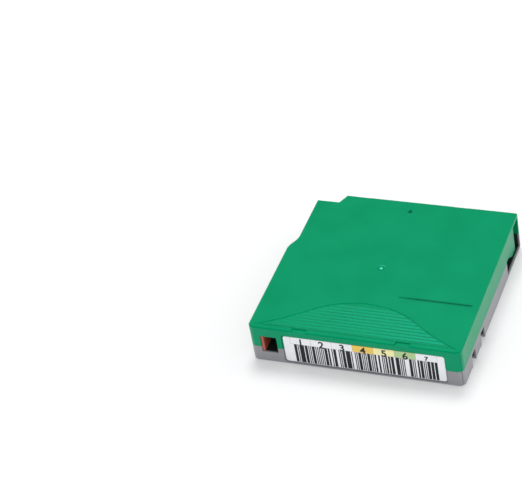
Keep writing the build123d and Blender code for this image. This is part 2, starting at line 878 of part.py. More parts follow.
# Brake button: face teeth below, a keyed collar above
with BuildPart() as brake_button:
    with BuildSketch(Plane.XY.offset(brake_plane)):
        Circle(brake_radius)
    extrude(amount=brake_thickness)
    with BuildSketch(Plane.XY.offset(release_top + release_gap)):
        Circle(brake_tip_radius)
    extrude(amount=brake_plane - release_top - release_gap)
    with BuildSketch(Plane.XY.offset(brake_top)):
        Circle(brake_collar_radius)
        Rectangle(guide_arm + 2 * guide_gap, guide_arm_thickness + 2 * guide_gap, mode=Mode.SUBTRACT)
        Rectangle(guide_arm_thickness + 2 * guide_gap, guide_arm + 2 * guide_gap, mode=Mode.SUBTRACT)
    extrude(amount=brake_collar_height)
    for index in range(tooth_count):
        with BuildSketch(
            tooth_plane(tooth_pitch * index, lock_ring_inner + tooth_end_gap, brake_plane, -1)
        ):
            add(tooth_profile.sketch)
        extrude(amount=lock_ring_width - 2 * tooth_end_gap)
brake_button.part.label = "brake_button"
export_step(brake_button.part, "parts/brake_button.step")

# Brake spring between the brake button and the roof
brake_spring = coil_spring(
    base=Plane.XY.offset(brake_top + brake_wire / 2),
    radius=brake_coil_radius,
    length=roof_under - brake_top - brake_wire,
    turns=brake_coil_turns,
    wire=brake_wire,
    steps=brake_coil_steps,
)
brake_spring.label = "brake_spring"
export_step(brake_spring, "parts/brake_spring.step")

# Wound tape
with BuildPart() as tape_pack:
    with BuildSketch(Plane.XY.offset(tape_bottom)):
        Circle(tape_pack_radius)
        Circle(hub_radius + fit_clearance, mode=Mode.SUBTRACT)
    extrude(amount=tape_width)
tape_pack.part.label = "tape_pack"
export_step(tape_pack.part, "parts/tape_pack.step")

# Leader pin, turned from one bar
pin_bottom = floor + pin_end_gap
pin_top = roof_under - pin_end_gap
shaft_bottom = tape_bottom - clamp_end_gap
shaft_top = tape_bottom + tape_width + clamp_end_gap
with BuildPart() as leader_pin:
    with BuildSketch(Plane(origin=(pin_x, pin_y, 0), x_dir=(1, 0, 0), z_dir=(0, -1, 0))):
        with BuildLine():
            Polyline(
                (0, pin_bottom),
                (pin_head_radius, pin_bottom),
                (pin_head_radius, pin_bottom + pin_head_height),
                (pin_neck_radius, pin_bottom + pin_head_height),
                (pin_neck_radius, shaft_bottom - pin_collar_thickness),
                (pin_collar_radius, shaft_bottom - pin_collar_thickness),
                (pin_collar_radius, shaft_bottom),
                (pin_shaft_radius, shaft_bottom),
                (pin_shaft_radius, shaft_top),
                (pin_collar_radius, shaft_top),
                (pin_collar_radius, shaft_top + pin_collar_thickness),
                (pin_neck_radius, shaft_top + pin_collar_thickness),
                (pin_neck_radius, pin_top - pin_head_height),
                (pin_head_radius, pin_top - pin_head_height),
                (pin_head_radius, pin_top),
                (0, pin_top),
                close=True,
            )
        make_face()
    revolve(axis=Axis((pin_x, pin_y, 0), (0, 0, 1)))
leader_pin.part.label = "leader_pin"
export_step(leader_pin.part, "parts/leader_pin.step")

# Leader: the free end of the tape, from the wound tape round the pin
sheet_middle = tape_pack_radius + tape_gap + tape_sheet / 2
wrap_middle = pin_shaft_radius + fit_clearance + tape_sheet / 2
pin_angle = atan2(pin_y, pin_x)
tangent_angle = pin_angle + acos((sheet_middle - wrap_middle) / hypot(pin_x, pin_y))
leader_normal = Vector(cos(tangent_angle), sin(tangent_angle), 0)
leader_start = leader_normal * sheet_middle
leader_end = Vector(pin_x, pin_y, 0) + leader_normal * wrap_middle
with BuildPart() as leader_tape:
    with BuildSketch(Plane.XY.offset(tape_bottom)):
        with BuildLine() as leader_line:
            Line(leader_start, leader_end)
        trace(leader_line.line, line_width=tape_sheet)
        with Locations((pin_x, pin_y)):
            Circle(wrap_middle + tape_sheet / 2)
            Circle(wrap_middle - tape_sheet / 2, mode=Mode.SUBTRACT)
    extrude(amount=tape_width)
leader_tape.part.label = "leader_tape"
export_step(leader_tape.part, "parts/leader_tape.step")

# Clamp: a split sleeve that holds the tape on the pin
clamp_inner = wrap_middle + tape_sheet / 2 + fit_clearance
with BuildPart() as tape_clamp:
    with BuildSketch(Plane.XY.offset(tape_bottom)):
        with Locations((pin_x, pin_y)):
            Circle(clamp_inner + clamp_thickness)
            Circle(clamp_inner, mode=Mode.SUBTRACT)
        with Locations(Location((leader_end.X, leader_end.Y), degrees(tangent_angle))):
            Rectangle(
                2 * clamp_thickness,
                clamp_inner + clamp_thickness + clamp_opening,
                align=(Align.CENTER, Align.MIN),
                mode=Mode.SUBTRACT,
            )
    extrude(amount=tape_width)
tape_clamp.part.label = "tape_clamp"
export_step(tape_clamp.part, "parts/tape_clamp.step")

# Two leaf springs that keep the pin ends in their cups
with BuildPart() as pin_springs:
    with BuildSketch(Plane.XY.offset(floor)):
        add(leaf_outline.sketch)
    extrude(amount=pin_spring_height)
    with BuildSketch(Plane.XY.offset(roof_under)):
        add(leaf_outline.sketch)
    extrude(amount=-pin_spring_height)
pin_springs.part.label = "pin_springs"
export_step(pin_springs.part, "parts/pin_springs.step")

# Memory board and its chip
board_rise = board_foot_y - board_top_y
board_plane = Plane(
    origin=(board_centre_x, board_top_y + board_rise / 2, board_foot_z + board_rise / 2),
    x_dir=(1, 0, 0),
    z_dir=(0, 1, 1),
)
with BuildPart() as memory_board:
    with BuildSketch(board_plane):
        Rectangle(board_width, board_length - board_thickness)
    extrude(amount=board_thickness)
memory_board.part.label = "memory_board"
export_step(memory_board.part, "parts/memory_board.step")

with BuildPart() as memory_chip:
    with BuildSketch(board_plane.offset(board_thickness)):
        Rectangle(chip_size, chip_size)
    extrude(amount=chip_thickness)
memory_chip.part.label = "memory_chip"
export_step(memory_chip.part, "parts/memory_chip.step")

# Label on the rear face
with BuildPart() as rear_label:
    with BuildSketch(label_plane.offset(-label_sink)):
        RectangleRounded(label_width, label_height, label_corner_radius)
    extrude(amount=label_thickness)
rear_label.part.label = "rear_label"
export_step(rear_label.part, "parts/rear_label.step")
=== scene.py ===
"""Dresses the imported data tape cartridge: finishes, label print and studio. Lengths are in metres."""

import json

import bpy
import numpy as np
from bpy.props import FloatProperty, FloatVectorProperty, IntProperty, PointerProperty
from mathutils import Matrix, Vector


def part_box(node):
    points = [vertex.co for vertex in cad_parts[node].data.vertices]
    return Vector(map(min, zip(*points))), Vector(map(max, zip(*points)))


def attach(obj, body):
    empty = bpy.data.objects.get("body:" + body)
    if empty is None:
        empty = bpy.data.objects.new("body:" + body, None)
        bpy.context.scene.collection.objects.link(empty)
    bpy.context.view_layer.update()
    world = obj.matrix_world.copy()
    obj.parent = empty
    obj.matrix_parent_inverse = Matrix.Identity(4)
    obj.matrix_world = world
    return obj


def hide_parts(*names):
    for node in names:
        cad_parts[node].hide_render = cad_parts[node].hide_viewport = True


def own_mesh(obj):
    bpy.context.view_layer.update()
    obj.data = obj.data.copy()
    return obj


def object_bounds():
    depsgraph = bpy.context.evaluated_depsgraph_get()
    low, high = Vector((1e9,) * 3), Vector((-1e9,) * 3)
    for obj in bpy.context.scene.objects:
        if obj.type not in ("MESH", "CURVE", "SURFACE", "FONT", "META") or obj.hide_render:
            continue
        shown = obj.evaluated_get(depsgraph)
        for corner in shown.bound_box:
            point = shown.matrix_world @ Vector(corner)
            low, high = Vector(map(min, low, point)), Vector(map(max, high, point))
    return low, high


bl_info = {
    "name": "Data tape cartridge",
    "version": (1, 0, 0),
    "blender": (4, 5, 0),
    "location": "View3D > Sidebar > Cartridge",
    "description": "Finishes, label print and studio for a data tape cartridge",
    "category": "Object",
}

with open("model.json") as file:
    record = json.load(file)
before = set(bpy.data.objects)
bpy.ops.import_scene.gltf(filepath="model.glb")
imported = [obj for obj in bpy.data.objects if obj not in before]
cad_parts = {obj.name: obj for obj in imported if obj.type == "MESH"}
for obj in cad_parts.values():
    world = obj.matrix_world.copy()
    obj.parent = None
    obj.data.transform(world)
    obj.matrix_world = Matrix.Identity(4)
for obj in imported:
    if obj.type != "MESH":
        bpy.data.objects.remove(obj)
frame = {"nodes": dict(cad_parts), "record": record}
CAD_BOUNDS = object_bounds()
MM = 0.001
WHITE = (1.0, 1.0, 1.0, 1.0)


class Wire:
    """One output of a shader node. Arithmetic on it adds the Math nodes that work it out."""

    def __init__(self, graph, socket):
        self.graph = graph
        self.socket = socket

    def _math(self, operation, *values):
        return self.graph.node("ShaderNodeMath", {"operation": operation}, dict(enumerate(values)))

    def __add__(self, other):
        return self._math("ADD", self, other)

    def __radd__(self, other):
        return self._math("ADD", other, self)

    def __sub__(self, other):
        return self._math("SUBTRACT", self, other)

    def __rsub__(self, other):
        return self._math("SUBTRACT", other, self)

    def __mul__(self, other):
        return self._math("MULTIPLY", self, other)

    def __rmul__(self, other):
        return self._math("MULTIPLY", other, self)

    def __truediv__(self, other):
        return self._math("DIVIDE", self, other)

    def __rtruediv__(self, other):
        return self._math("DIVIDE", other, self)

    def __abs__(self):
        return self._math("ABSOLUTE", self)

    def floor(self):
        """The whole number below."""
        return self._math("FLOOR", self)

    def root(self):
        """The square root."""
        return self._math("SQRT", self)

    def sine(self):
        """The sine of an angle in radians."""
        return self._math("SINE", self)

    def at_most(self, other):
        """The smaller of the two."""
        return self._math("MINIMUM", self, other)

    def at_least(self, other):
        """The larger of the two."""
        return self._math("MAXIMUM", self, other)

    def above(self, other):
        """1 where this is more than other, and 0 elsewhere."""
        return self._math("GREATER_THAN", self, other)

    def ramp(self, low, high, start=0.0, end=1.0):
        """Goes smoothly from start to end as this goes from low to high."""
        return self.graph.node(
            "ShaderNodeMapRange",
            {"interpolation_type": "SMOOTHSTEP", "clamp": True},
            {"Value": self, "From Min": low, "From Max": high, "To Min": start, "To Max": end},
        )

    def inside(self, low, high, soft):
        """1 between low and high, and 0 outside, with an edge of width soft."""
        return self.ramp(low - soft, low + soft) * self.ramp(high + soft, high - soft)


class Graph:
    """The emptied node tree of one new material, or of the world."""

    def __init__(self, name, world=False):
        self.owner = (bpy.data.worlds if world else bpy.data.materials).new(name)
        self.owner.use_nodes = True
        self.output = "ShaderNodeOutputWorld" if world else "ShaderNodeOutputMaterial"
        self.tree = self.owner.node_tree
        self.tree.nodes.clear()

    def node(self, kind, settings=None, inputs=None, output=0):
        """Adds a node of this kind, applies its settings, fills its sockets and returns one output."""
        made = self.tree.nodes.new(kind)
        for key, value in (settings or {}).items():
            setattr(made, key, value)
        for key, value in (inputs or {}).items():
            if isinstance(value, Wire):
                self.tree.links.new(value.socket, made.inputs[key])
            else:
                made.inputs[key].default_value = value
        return Wire(self, made.outputs[output]) if made.outputs else None

    def place(self):
        """The point's X, Y and Z in the object's own coordinates, in metres."""
        return self.split(self.point())

    def point(self):
        """The point in the object's own coordinates, in metres."""
        return self.node("ShaderNodeTexCoord", None, None, "Object")

    def split(self, vector):
        """The three parts of a vector."""
        return [self.node("ShaderNodeSeparateXYZ", None, {0: vector}, axis) for axis in range(3)]

    def noise(self, scale, detail=2.0, roughness=0.5, vector=None):
        """Fractal noise, with scale in waves per metre."""
        return self.node(
            "ShaderNodeTexNoise",
            None,
            {
                "Vector": vector or self.point(),
                "Scale": scale,
                "Detail": detail,
                "Roughness": roughness,
            },
        )

    def blend(self, mask, first, second):
        """The colour first where mask is 0, and second where it is 1."""
        return self.node(
            "ShaderNodeMix",
            {"data_type": "RGBA"},
            {0: mask, 6: first, 7: second},
            2,
        )

    def bump(self, height, strength, distance):
        """A normal tilted by a height field."""
        return self.node(
            "ShaderNodeBump", None, {"Height": height, "Strength": strength, "Distance": distance}
        )

    def surface(self, **inputs):
        """Adds the Principled shader with these sockets and links it to the output."""
        named = {key.replace("_", " ").title().replace("Ior", "IOR"): value for key, value in inputs.items()}
        return self.finish(self.node("ShaderNodeBsdfPrincipled", None, named))

    def finish(self, shader):
        """Links a shader to the output, and returns the material or world."""
        self.node(self.output, None, {0: shader})
        return self.owner


def rgba(color, factor=1.0):
    """A colour property as four numbers, made lighter or darker by a factor."""
    return (*(min(1.0, part * factor) for part in color), 1.0)


def dress(node, material):
    """Gives one CAD node its material."""
    mesh = frame["nodes"][node].data
    mesh.materials.clear()
    mesh.materials.append(material)


class ShellSettings(bpy.types.PropertyGroup):
    """Colours and finish of the moulded case."""

    green: FloatVectorProperty(
        name="Green", description="Upper shell and door", subtype="COLOR", default=(0.0, 0.265, 0.105)
    )
    grey: FloatVectorProperty(
        name="Grey", description="Lower shell", subtype="COLOR", default=(0.262, 0.262, 0.285)
    )
    red: FloatVectorProperty(
        name="Red", description="Write-protect slider", subtype="COLOR", default=(0.42, 0.085, 0.05)
    )
    gloss_tint: FloatVectorProperty(
        name="Gloss tint", description="Colour of the green's gloss", subtype="COLOR", default=(0.0, 1.0, 0.8)
    )
    roughness: FloatProperty(
        name="Roughness", description="Gloss of the mouldings", default=0.36, min=0.05, max=1.0
    )
    grain: FloatProperty(
        name="Grain", description="Waves per metre of the moulded texture", default=3200.0
    )


class LabelSettings(bpy.types.PropertyGroup):
    """Print on the rear label."""

    paper: FloatVectorProperty(
        name="Paper", description="Label film", subtype="COLOR", default=(0.88, 0.89, 0.92)
    )
    ink: FloatVectorProperty(
        name="Ink", description="Bars and digits", subtype="COLOR", default=(0.012, 0.018, 0.02)
    )
    amber: FloatVectorProperty(
        name="Amber", description="Fourth cell", subtype="COLOR", default=(0.86, 0.60, 0.13)
    )
    yellow: FloatVectorProperty(
        name="Yellow", description="Fifth cell", subtype="COLOR", default=(0.91, 0.86, 0.44)
    )
    lime: FloatVectorProperty(
        name="Lime", description="Sixth cell", subtype="COLOR", default=(0.46, 0.62, 0.31)
    )
    cell_count: IntProperty(name="Cells", description="Cells in the top row", default=7)
    cell_width: FloatProperty(
        name="Cell width", description="Width of one cell", default=10.35 * MM, unit="LENGTH"
    )
    cell_height: FloatProperty(
        name="Cell height", description="Height of the top row", default=4.1 * MM, unit="LENGTH"
    )
    bar_width: FloatProperty(
        name="Bar width", description="Width of the thinnest bar or gap", default=0.445 * MM, unit="LENGTH"
    )
    bar_start: FloatProperty(
        name="Left margin", description="White at the left of the bars", default=5.2 * MM, unit="LENGTH"
    )
    bar_end: FloatProperty(
        name="Right margin", description="White at the right of the bars", default=3.6 * MM, unit="LENGTH"
    )
    digit_height: FloatProperty(
        name="Digit height", description="Size of the digits", default=5.6 * MM, unit="LENGTH"
    )
    digit_weight: FloatProperty(
        name="Digit weight",
        description="Outward growth of a digit's outline",
        default=0.15 * MM,
        unit="LENGTH",
    )
    digit_drop: FloatProperty(
        name="Digit drop", description="Digits' foot below the cells", default=0.45 * MM, unit="LENGTH"
    )


class SpringSettings(bpy.types.PropertyGroup):
    """The two coil springs."""

    brake_radius: FloatProperty(
        name="Brake coil radius", description="To the middle of the wire", default=7.5 * MM, unit="LENGTH"
    )
    brake_wire: FloatProperty(
        name="Brake wire", description="Diameter of the wire", default=0.8 * MM, unit="LENGTH"
    )
    brake_turns: IntProperty(name="Brake coil turns", description="Whole turns", default=3)
    door_radius: FloatProperty(
        name="Door coil radius", description="To the middle of the wire", default=1.1 * MM, unit="LENGTH"
    )
    door_wire: FloatProperty(
        name="Door wire", description="Diameter of the wire", default=0.4 * MM, unit="LENGTH"
    )
    door_turns: IntProperty(name="Door coil turns", description="Whole turns", default=8)


class StudioSettings(bpy.types.PropertyGroup):
    """Camera and lights."""

    azimuth: FloatProperty(
        name="Azimuth", description="Camera's turn round the object", subtype="ANGLE", default=0.471775
    )
    elevation: FloatProperty(
        name="Elevation", description="Camera's height above the horizon", subtype="ANGLE", default=0.686975
    )
    roll: FloatProperty(
        name="Roll", description="Camera's turn about its own axis", subtype="ANGLE", default=-0.197177
    )
    distance: FloatProperty(
        name="Distance", description="From the camera to its target", default=1.105448, unit="LENGTH"
    )
    target: FloatVectorProperty(
        name="Target",
        description="Point at the middle of the view",
        subtype="TRANSLATION",
        default=(-0.070814, 0.014674, 0.01075),
    )
    lens: FloatProperty(name="Lens", description="Focal length in millimetres", default=152.42)
    sky: FloatProperty(name="Sky", description="Strength of the even light all round", default=0.68)
    sky_gloss: FloatProperty(
        name="Mirrored sky", description="Brightness overhead, as a gloss shows it", default=0.05
    )
    horizon_gloss: FloatProperty(
        name="Mirrored horizon", description="Brightness near the floor, as a gloss shows it", default=0.9
    )
    key: FloatProperty(name="Key", description="Power of the lamp above and behind", default=7.6)
    fill: FloatProperty(name="Fill", description="Power of the lamp in front", default=3.0)
    side: FloatProperty(name="Side", description="Power of the lamp on the right", default=2.6)


def moulding(name, color, rough, grain, tint=(1.0, 1.0, 1.0), marks=()):
    """Moulded plastic: a faint cloud in the colour, fine spark-eroded grain in the height.

    tint colours the gloss. Each of marks is a function of the graph that returns a mask and the
    colour that it lays over the plastic; on the shells these marks are painted shade and painted highlights.
    """
    graph = Graph(name)
    cloud = graph.noise(55.0, 3.0)
    fine = graph.noise(grain, 2.0, 0.6)
    base = graph.blend(cloud.ramp(0.35, 0.65), rgba(color, 0.97), rgba(color, 1.03))
    for mark in marks:
        mask, shade = mark(graph)
        base = graph.blend(mask, base, shade)
    return graph.surface(
        base_color=base,
        roughness=cloud.ramp(0.3, 0.7, rough - 0.03, rough + 0.03),
        specular_tint=(*tint, 1.0),
        normal=graph.bump(fine, 0.12, 0.05 * MM),
    )


def metal(name, color, rough, scratch_axis=None):
    """Bare steel: fine noise, stretched along one axis where the metal is drawn or brushed."""
    graph = Graph(name)
    stretch = [900.0, 900.0, 900.0]
    if scratch_axis is not None:
        stretch[scratch_axis] = 60.0
    vector = graph.node(
        "ShaderNodeMapping", None, {"Vector": graph.point(), "Scale": tuple(stretch)}
    )
    streak = graph.noise(4.0, 3.0, 0.6, vector)
    return graph.surface(
        base_color=graph.blend(streak.ramp(0.3, 0.7), rgba(color, 0.92), rgba(color, 1.06)),
        metallic=1.0,
        roughness=streak.ramp(0.3, 0.7, rough - 0.06, rough + 0.08),
        normal=graph.bump(streak, 0.1, 0.02 * MM),
    )


def turned_metal(name, color, rough, pitch):
    """Stamped or turned steel with fine rings round the Z axis."""
    graph = Graph(name)
    x, y, _ = graph.place()
    radius = (x * x + y * y).root()
    ring = (radius * (2 * np.pi / pitch)).sine()
    patch = graph.noise(500.0, 2.0)
    return graph.surface(
        base_color=graph.blend(patch.ramp(0.3, 0.7), rgba(color, 0.93), rgba(color, 1.05)),
        metallic=1.0,
        roughness=patch.ramp(0.3, 0.7, rough - 0.05, rough + 0.05),
        normal=graph.bump(ring * 0.5 + patch, 0.15, 0.02 * MM),
    )


class CARTRIDGE_OT_case(bpy.types.Operator):
    """Finishes the two shells, the door and the slider"""

    bl_idname = "cartridge.case"
    bl_label = "Case"

    def execute(self, context):
        shell = context.scene.cartridge_shell
        rough, grain, tint = shell.roughness, shell.grain, tuple(shell.gloss_tint)
        # roof lists the marks over the green: painted shade inside the walls, in the rule, the arrow and the
        # gate's dish, a painted highlight on the dish's rim and a painted glint on the gate's stub.
        roof = (painted_inner_shade, rule_and_arrow_shade, gate_dish_shade, gate_rim_highlight, gate_tip_glint)
        dress("top_shell", moulding("green_moulding", shell.green, rough, grain, tint, roof))
        # The grey gets painted shade inside the walls and in the pocket ahead of the door.
        dress("bottom_shell", moulding("grey_moulding", shell.grey, rough, grain, marks=(painted_inner_and_pocket_shade,)))
        dress("access_door", moulding("door_moulding", shell.green, rough, grain, tint))
        dress("write_protect_slider", moulding("red_moulding", shell.red, rough, grain))
        dress("shell_screws", metal("screw_steel", (0.42, 0.42, 0.43), 0.32))
        return {"FINISHED"}


def painted_inner_shade(graph, side_skin=2.7 * MM):
    """Mask of the faces inside the walls, and the near-black colour painted on them as the deep shade that
    falls there.

    The inside is a large box behind the waist, and a narrower one that runs on to the front wall and
    ends at side_skin from the right face.
    """
    x, y, z = graph.place()
    low, high = CAD_BOUNDS
    wall_skin, roof_skin, left_skin = 0.8 * MM, 1.6 * MM, 4.2 * MM
    waist_rear, waist_front, waist_left = 8.0 * MM, 7.0 * MM, 20.0 * MM
    soft = 0.1 * MM
    depth = z.inside(low[2] + roof_skin, high[2] - roof_skin, soft / 2)
    behind = x.inside(low[0] + left_skin, high[0] - wall_skin, soft)
    behind = behind * y.inside(low[1] + wall_skin, high[1] - waist_front, soft)
    ahead = x.inside(low[0] + waist_left, high[0] - side_skin, soft)
    ahead = ahead * y.inside(high[1] - waist_rear, high[1] - wall_skin, soft)
    # The colour is near-black painted shade, not the plastic's own colour.
    return behind.at_least(ahead) * depth, (0.012, 0.022, 0.019, 1.0)


def painted_inner_and_pocket_shade(graph):
    """The same painted shade, run on over the pocket ahead of the door so that the lower shell shows it dark.
    """
    return painted_inner_shade(graph, side_skin=0.8 * MM)


def rule_and_arrow_shade(graph):
    """Mask of the rule and the arrow on the roof, and the darker green painted over them as shade.

    Both are sunk in the solid. Here the sunk faces get painted shade, and the rule's painted shade gets soft
    edges and fades towards its left end.
    """
    x, y, z = graph.place()
    top = CAD_BOUNDS[1][2]
    roof = z.ramp(top - 0.5 * MM, top - 0.4 * MM)
    sunk = z.ramp(top - 0.12 * MM, top - 0.2 * MM)
    rule_left, rule_full, rule_right, rule_y = 11.0 * MM, 23.0 * MM, 49.0 * MM, -18.7 * MM
    rule_strength, rule_blur, rule_core, rule_rim = 0.5, 1.0 * MM, 0.3 * MM, 1.5 * MM
    fade_in = x.ramp(rule_left, rule_full, 0.0, rule_strength)
    along = fade_in * x.ramp(rule_right + rule_blur, rule_right - rule_blur)
    across = abs(y - rule_y).ramp(rule_rim, rule_core)
    arrow_half, arrow_rear, arrow_front, edge = 2.0 * MM, 41.0 * MM, 46.0 * MM, 0.05 * MM
    arrow = x.inside(-arrow_half, arrow_half, edge) * y.inside(arrow_rear, arrow_front, edge) * sunk
    # The dark green is painted shade for the sunk rule and arrow.
    return (along * across).at_least(arrow) * roof, (0.0, 0.09, 0.045, 1.0)


# Place and radii of the painted marks at the moulding gate: shade in its dish, a highlight on the dish's far
# rim and a glint on its stub.
GATE_PLACE = (-1.5 * MM, -0.1 * MM)
GATE_SHADED_DISH = (0.9 * MM, 1.8 * MM)
GATE_RIM_HIGHLIGHT = (1.7 * MM, 2.5 * MM)
GATE_TIP_GLINT = (0.3 * MM, 1.1 * MM)
GATE_BLUR = 0.3 * MM


def gate_distance(graph):
    """Distance on the roof from the moulding gate, the part of it along Y, and a mask of the roof."""
    x, y, z = graph.place()
    across, along = x - GATE_PLACE[0], y - GATE_PLACE[1]
    return (across * across + along * along).root(), along, z.above(CAD_BOUNDS[1][2] - 0.1 * MM)


def gate_dish_shade(graph):
    """Mask of the shallow dish round the moulding gate, and the darker green painted there as its shade."""
    distance, _, roof = gate_distance(graph)
    # The darker green is painted shade.
    return distance.inside(*GATE_SHADED_DISH, GATE_BLUR) * roof, (0.0, 0.19, 0.08, 1.0)


def gate_rim_highlight(graph):
    """Mask of the far rim of that dish, and the paler green painted there as a highlight where it would take
    the light.
    """
    distance, along, roof = gate_distance(graph)
    far = along.ramp(*GATE_SHADED_DISH, 0.0, 0.6)
    # The paler green is a painted highlight.
    return distance.inside(*GATE_RIM_HIGHLIGHT, GATE_BLUR) * far * roof, (0.03, 0.46, 0.27, 1.0)


def gate_tip_glint(graph):
    """Mask of the moulding gate's stub, and the pale green painted there as its bright glint."""
    distance, _, roof = gate_distance(graph)
    core, rim = GATE_TIP_GLINT
    # The pale green is a painted glint.
    return distance.ramp(rim, core) * roof, (0.07, 0.80, 0.50, 1.0)


class CARTRIDGE_OT_reel(bpy.types.Operator):
    """Finishes the hub, flanges, clutch, brake and tape"""

    bl_idname = "cartridge.reel"
    bl_label = "Reel"

    def execute(self, context):
        grain = context.scene.cartridge_shell.grain
        dress("reel_hub", moulding("hub_moulding", (0.70, 0.70, 0.67), 0.4, grain))
        dress("release_plate", moulding("release_moulding", (0.80, 0.80, 0.78), 0.4, grain))
        dress("brake_button", moulding("brake_moulding", (0.03, 0.03, 0.033), 0.4, grain))
        dress("clutch_plate", turned_metal("clutch_steel", (0.58, 0.58, 0.59), 0.3, 0.35 * MM))
        dress("upper_flange", clear_flange())
        film = wound_film()
        dress("tape_pack", film)
        dress("leader_tape", film)
        return {"FINISHED"}


def clear_flange():
    """Clear polycarbonate, seen through at 14 percent cover on each face, with a faint waviness."""
    graph = Graph("clear_flange")
    wave = graph.noise(120.0, 2.0)
    return graph.surface(
        base_color=graph.blend(wave, (0.62, 0.70, 0.75, 1.0), (0.68, 0.74, 0.78, 1.0)),
        roughness=wave.ramp(0.3, 0.7, 0.06, 0.12),
        alpha=wave.ramp(0.2, 0.8, 0.12, 0.16),
        normal=graph.bump(wave, 0.05, 0.05 * MM),
    )


def wound_film():
    """Dark polished film: thousands of turns show as fine rings, some a little proud."""
    graph = Graph("wound_film")
    x, y, _ = graph.place()
    radius = (x * x + y * y).root()
    turns_per_metre = 5200.0
    turns = graph.node(
        "ShaderNodeTexNoise",
        {"noise_dimensions": "1D"},
        {"W": radius * turns_per_metre, "Scale": 1.0, "Detail": 4.0},
    )
    return graph.surface(
        base_color=graph.blend(turns.ramp(0.35, 0.7), (0.016, 0.012, 0.010, 1.0), (0.040, 0.030, 0.024, 1.0)),
        roughness=turns.ramp(0.3, 0.7, 0.16, 0.32),
        normal=graph.bump(turns, 0.2, 0.03 * MM),
    )


class CARTRIDGE_OT_leader(bpy.types.Operator):
    """Finishes the leader pin, its clamp and the leaf springs"""

    bl_idname = "cartridge.leader"
    bl_label = "Leader pin"

    def execute(self, context):
        grain = context.scene.cartridge_shell.grain
        dress("leader_pin", metal("pin_steel", (0.62, 0.62, 0.63), 0.2))
        dress("tape_clamp", moulding("clamp_moulding", (0.66, 0.66, 0.64), 0.4, grain))
        dress("pin_springs", metal("leaf_steel", (0.55, 0.55, 0.56), 0.28, 1))
        return {"FINISHED"}


class CARTRIDGE_OT_springs(bpy.types.Operator):
    """Winds the springs of the brake and the door"""

    bl_idname = "cartridge.springs"
    bl_label = "Coil springs"

    def execute(self, context):
        spring = context.scene.cartridge_springs
        upright = np.eye(3)
        lying = np.array([(1.0, 0.0, 0.0), (0.0, 0.0, -1.0), (0.0, 1.0, 0.0)])
        brake = (spring.brake_radius, spring.brake_wire, spring.brake_turns)
        door = (spring.door_radius, spring.door_wire, spring.door_turns)
        wound_spring("brake_spring", *brake, upright, "brake_lift", held_high=True)
        wound_spring("door_spring", *door, lying, "door_slide", held_high=False)
        return {"FINISHED"}


def coil_surface(radius, wire, length, turns):
    """A round wire carried along a helix round Z, as points and faces.

    With u from 0 to 1 along the wire, its middle stands at the angle 2 pi turns u, at radius from the
    axis and at the height length * (u - crowd sin(2 pi u) / (2 pi)), so that the end turns lie close.
    Round it, a circle of half the wire's width stands square to the helix, from the outward direction
    towards the tangent crossed with it. A disc closes each end.
    """
    steps, sides, crowd = 32 * turns, 12, 0.8
    u = np.linspace(0.0, 1.0, steps + 1)
    angle = 2 * np.pi * turns * u
    outward = np.stack((np.cos(angle), np.sin(angle), 0 * u), axis=1)
    height = length * (u - crowd * np.sin(2 * np.pi * u) / (2 * np.pi))
    middle = radius * outward + np.stack((0 * u, 0 * u, height), axis=1)
    climb = length * (1 - crowd * np.cos(2 * np.pi * u)) / (2 * np.pi * turns * radius)
    tangent = np.stack((-np.sin(angle), np.cos(angle), climb), axis=1)
    tangent /= np.linalg.norm(tangent, axis=1, keepdims=True)
    upward = np.cross(tangent, outward)
    around = (2 * np.pi * np.arange(sides) / sides)[None, :, None]
    circle = np.cos(around) * outward[:, None] + np.sin(around) * upward[:, None]
    points = (middle[:, None] + wire / 2 * circle).reshape(-1, 3)
    corner = np.arange(steps * sides).reshape(steps, sides)
    beside = np.roll(corner, -1, axis=1)
    faces = np.stack((corner, beside, beside + sides, corner + sides), axis=2).reshape(-1, 4).tolist()
    ends = [list(range(sides))[::-1], list(range(steps * sides, (steps + 1) * sides))]
    return points, faces + ends


def wound_spring(node, radius, wire, turns, axes, joint, held_high):
    """Winds a coil in the box of its node, along the last of axes.

    The joint's travel is looked up, but nothing shortens the coil. held_high is not used.
    """
    low, high = (np.array(corner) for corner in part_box(node))
    along = axes[2]
    room = float(along @ (high - low))
    end_gap = 0.05 * MM
    length = room - wire - 2 * end_gap
    points, faces = coil_surface(radius, wire, length, turns)
    foot = (low + high) / 2 - along * length / 2
    mesh = bpy.data.meshes.new(f"{node}_coil")
    mesh.from_pydata((points @ axes + foot).tolist(), [], faces)
    mesh.shade_smooth()
    mesh.set_sharp_from_angle(angle=0.7)
    mesh.materials.append(metal(f"{node}_wire", (0.55, 0.55, 0.56), 0.25))
    coil = bpy.data.objects.new(f"{node}_coil", mesh)
    bpy.context.collection.objects.link(coil)
    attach(coil, "case")
    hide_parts(node)
    joints = frame["record"]["behaviour"]["joints"]
    travel = next(entry["range_m"][1] for entry in joints if entry["name"] == joint)
    1 - travel / room
    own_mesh(coil)


class CARTRIDGE_OT_memory(bpy.types.Operator):
    """Finishes the memory board and its chip"""

    bl_idname = "cartridge.memory"
    bl_label = "Memory board"

    def execute(self, context):
        dress("memory_board", board_lacquer())
        dress("memory_chip", moulding("chip_moulding", (0.015, 0.015, 0.016), 0.5, 6000.0))
        return {"FINISHED"}


